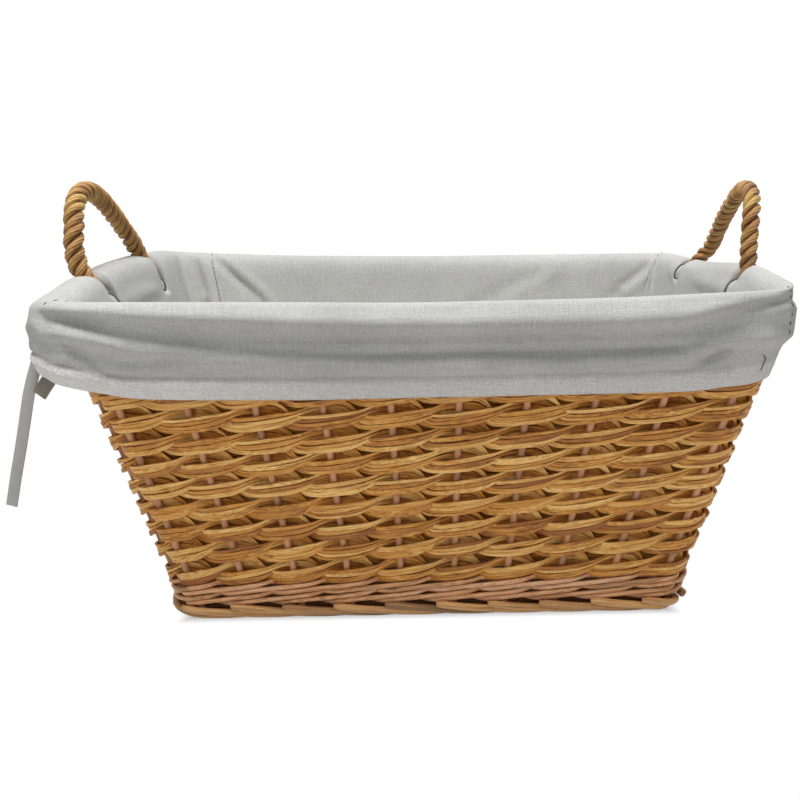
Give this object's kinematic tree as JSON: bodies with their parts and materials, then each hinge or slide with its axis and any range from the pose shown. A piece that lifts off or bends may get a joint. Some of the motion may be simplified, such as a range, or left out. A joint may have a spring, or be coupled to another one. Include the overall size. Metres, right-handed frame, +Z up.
{
  "type": "laundry basket",
  "caption": "Tapered rectangular wicker basket with a folded-over cotton liner and a twisted rope handle at each end.",
  "frame": {"origin": "middle of the underside, on the surface the basket stands on", "axes": "+Z up, X along the length with the tie tape at -X, -Y the long side that faces the front"},
  "size_m": [0.5533, 0.3632, 0.3134],
  "materials": {
    "willow_strip": "satin",
    "willow_stake": "satin",
    "willow_rod": "satin",
    "pale_rod": "satin",
    "rope": "matte",
    "cotton_cloth": "matte",
    "cotton_tape": "matte"
  },
  "bodies": {
    "basket": {"base_sticks": "willow_stake", "base_strips": "willow_strip", "stakes_front": "willow_stake", "stakes_right": "willow_stake", "stakes_back": "willow_stake", "stakes_left": "willow_stake", "foot_front": "willow_rod", "foot_right": "willow_rod", "foot_back": "willow_rod", "foot_left": "willow_rod", "wale_lower": "pale_rod", "wale_upper": "pale_rod", "weave_row_01": "willow_strip", "weave_row_02": "willow_strip", "weave_row_03": "willow_strip", "weave_row_04": "willow_strip", "weave_row_05": "willow_strip", "weave_row_06": "willow_strip", "weave_row_07": "willow_strip", "weave_row_08": "willow_strip", "weave_row_09": "willow_strip", "weave_row_10": "willow_strip", "rim_inner_hoop": "willow_rod", "rim_outer_hoop": "willow_rod", "rim_top_rod": "willow_rod"},
    "handle_left": {"handle_left_rope": "rope", "handle_left_eyes": "rope"},
    "handle_right": {"handle_right_rope": "rope", "handle_right_eyes": "rope"},
    "liner": {"liner_floor": "cotton_cloth", "liner_front": "cotton_cloth", "liner_right": "cotton_cloth", "liner_back": "cotton_cloth", "liner_left": "cotton_cloth", "cuff_crest": "cotton_cloth", "cuff_front": "cotton_cloth", "cuff_right": "cotton_cloth", "cuff_back": "cotton_cloth", "cuff_left": "cotton_cloth", "cuff_hem": "cotton_cloth", "tie_tab": "cotton_tape", "tie_tape": "cotton_tape"}
  },
  "joints": [
    {"name": "handle_left_swing", "type": "hinge", "parent": "basket", "child": "handle_left", "pos_m": [-0.238, 0, 0.23], "axis": [0, 1, 0], "range_deg": [-63, 87]},
    {"name": "handle_right_swing", "type": "hinge", "parent": "basket", "child": "handle_right", "pos_m": [0.238, 0, 0.23], "axis": [0, -1, 0], "range_deg": [-63, 87]},
    {"name": "liner_lift", "type": "slide", "parent": "basket", "child": "liner", "axis": [0, 0, 1], "range_m": [0, 0.27], "deforming": ["cuff_crest", "cuff_front", "cuff_right", "cuff_back", "cuff_left", "cuff_hem", "tie_tab"]}
  ]
}
